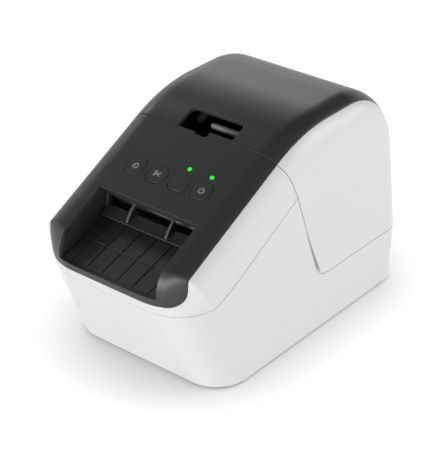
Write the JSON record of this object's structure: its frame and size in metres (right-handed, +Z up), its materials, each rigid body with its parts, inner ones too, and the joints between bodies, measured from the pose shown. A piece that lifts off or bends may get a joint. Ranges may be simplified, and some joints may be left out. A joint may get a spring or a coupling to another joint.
{
  "type": "label printer",
  "caption": "Desktop thermal label printer with a sloping dark front, label bay, keys, a rear-hinged roll cover, and a working feed, print and cutter unit.",
  "frame": {"origin": "on the surface the printer stands on, below the middle of its bounding box", "axes": "+X to the printer's left as seen from its front, +Y to the rear, +Z up"},
  "size_m": [0.1254, 0.2129, 0.142],
  "materials": {
    "white_cover": "satin moulded ABS, very fine grain",
    "bottom_plate": "moulded plastic, fine grain",
    "dark_panel": "satin dark moulded plastic",
    "dark_roof": "half-gloss dark moulded plastic",
    "bay_plastic": "dark moulded plastic with fine grain",
    "key_plastic": "satin dark key caps",
    "green_light": "clear green light pipe",
    "inner_black": "black moulded plastic",
    "grey_bar": "grey moulded plastic",
    "foot_rubber": "dark rubber",
    "roller_rubber": "ground rubber",
    "plain_steel": "turned steel",
    "sheet_steel": "zinc-plated sheet steel",
    "bearing_plastic": "natural acetal",
    "gear_plastic": "white acetal",
    "pinion_brass": "machined brass",
    "motor_can": "drawn steel can",
    "head_aluminium": "extruded aluminium with cooling ribs",
    "head_ceramic": "glazed ceramic strip",
    "cutter_plastic": "glass-filled black plastic",
    "blade_steel": "ground blade steel",
    "circuit_board": "green circuit board with parts",
    "inlet_black": "black moulded inlet with steel pins",
    "socket_metal": "nickel-plated shell"
  },
  "bodies": {
    "base": {"base_case": "white_cover", "front_cover": "white_cover", "bottom_cover": "bottom_plate", "front_panel": "dark_panel", "exit_bay": "bay_plastic", "exit_guide": "bay_plastic", "editor_light": "green_light", "power_light": "green_light", "roll_tub": "inner_black", "hinge_brackets": "inner_black", "paper_guide": "inner_black", "media_sensor": "inner_black", "rubber_feet": "foot_rubber", "case_screws": "plain_steel", "head_pin": "plain_steel", "gear_stud": "plain_steel", "head_springs": "plain_steel", "chassis": "sheet_steel", "spring_bar": "sheet_steel", "platen_bushes": "bearing_plastic", "cutter_bushes": "bearing_plastic", "feed_motor": "motor_can", "cutter_motor": "motor_can", "cutter_frame": "cutter_plastic", "fixed_blade": "blade_steel", "control_board": "circuit_board", "main_board": "circuit_board", "power_supply": "circuit_board", "power_inlet": "inlet_black", "usb_port": "socket_metal"},
    "lid": {"lid_top": "dark_roof", "lid_shell": "white_cover", "lid_frame": "inner_black", "lid_guide_bar": "grey_bar", "hinge_pins": "plain_steel"},
    "head": {"head_bracket": "head_aluminium", "thermal_head": "head_ceramic"},
    "feed_key": {"feed_button": "key_plastic"},
    "cut_key": {"cut_button": "key_plastic"},
    "editor_key": {"editor_button": "key_plastic"},
    "power_key": {"power_button": "key_plastic"},
    "platen": {"platen_roller": "roller_rubber", "platen_shaft": "plain_steel", "platen_gear": "gear_plastic"},
    "reduction": {"reduction_gear": "gear_plastic"},
    "feed_motor_shaft": {"feed_pinion": "pinion_brass"},
    "cutter_drive": {"cutter_shaft": "plain_steel", "lift_pinions": "gear_plastic", "cutter_gear": "gear_plastic"},
    "blade": {"moving_blade": "blade_steel"},
    "cutter_motor_shaft": {"cutter_pinion": "pinion_brass"}
  },
  "joints": [
    {"name": "lid_hinge", "type": "hinge", "parent": "base", "child": "lid", "pos_m": [0, 0.1002, 0.054], "axis": [-1, 0, 0], "range_deg": [0, 80]},
    {"name": "head_lift", "type": "hinge", "parent": "base", "child": "head", "pos_m": [0, -0.018, 0.098], "axis": [-1, 0, 0], "range_deg": [0, 4], "deforming": ["head_springs"]},
    {"name": "feed_press", "type": "slide", "parent": "base", "child": "feed_key", "axis": [0, 0.4555, -0.8902], "range_m": [0, 0.0008], "stiffness_N_per_m": 600, "springref_m": -0.0006},
    {"name": "cut_press", "type": "slide", "parent": "base", "child": "cut_key", "axis": [0, 0.4555, -0.8902], "range_m": [0, 0.0008], "stiffness_N_per_m": 600, "springref_m": -0.0006},
    {"name": "editor_press", "type": "slide", "parent": "base", "child": "editor_key", "axis": [0, 0.4555, -0.8902], "range_m": [0, 0.0008], "stiffness_N_per_m": 600, "springref_m": -0.0006},
    {"name": "power_press", "type": "slide", "parent": "base", "child": "power_key", "axis": [0, 0.4555, -0.8902], "range_m": [0, 0.0008], "stiffness_N_per_m": 600, "springref_m": -0.0006},
    {"name": "platen_turn", "type": "hinge", "parent": "base", "child": "platen", "pos_m": [0, -0.034, 0.086], "axis": [1, 0, 0], "continuous": true},
    {"name": "reduction_turn", "type": "hinge", "parent": "base", "child": "reduction", "pos_m": [-0.05, -0.0308, 0.06788], "axis": [1, 0, 0], "continuous": true},
    {"name": "feed_motor_turn", "type": "hinge", "parent": "base", "child": "feed_motor_shaft", "pos_m": [-0.05, -0.01377, 0.05595], "axis": [1, 0, 0], "continuous": true},
    {"name": "cutter_turn", "type": "hinge", "parent": "base", "child": "cutter_drive", "pos_m": [0, -0.04922, 0.066], "axis": [-1, 0, 0], "range_deg": [0, 53.72]},
    {"name": "blade_lift", "type": "slide", "parent": "base", "child": "blade", "axis": [0, 0, 1], "range_m": [0, 0.006]},
    {"name": "cutter_motor_turn", "type": "hinge", "parent": "base", "child": "cutter_motor_shaft", "pos_m": [0.047, -0.03451, 0.05366], "axis": [-1, 0, 0], "range_deg": [-161.2, 0]}
  ],
  "couplings": [
    {"joint": "head_lift", "follows": "lid_hinge", "ratio": 0.05},
    {"joint": "reduction_turn", "follows": "platen_turn", "ratio": -1.875},
    {"joint": "feed_motor_turn", "follows": "platen_turn", "ratio": 6.25},
    {"joint": "cutter_turn", "follows": "blade_lift", "rad_per_m": 156.25},
    {"joint": "cutter_motor_turn", "follows": "blade_lift", "rad_per_m": -468.75}
  ]
}
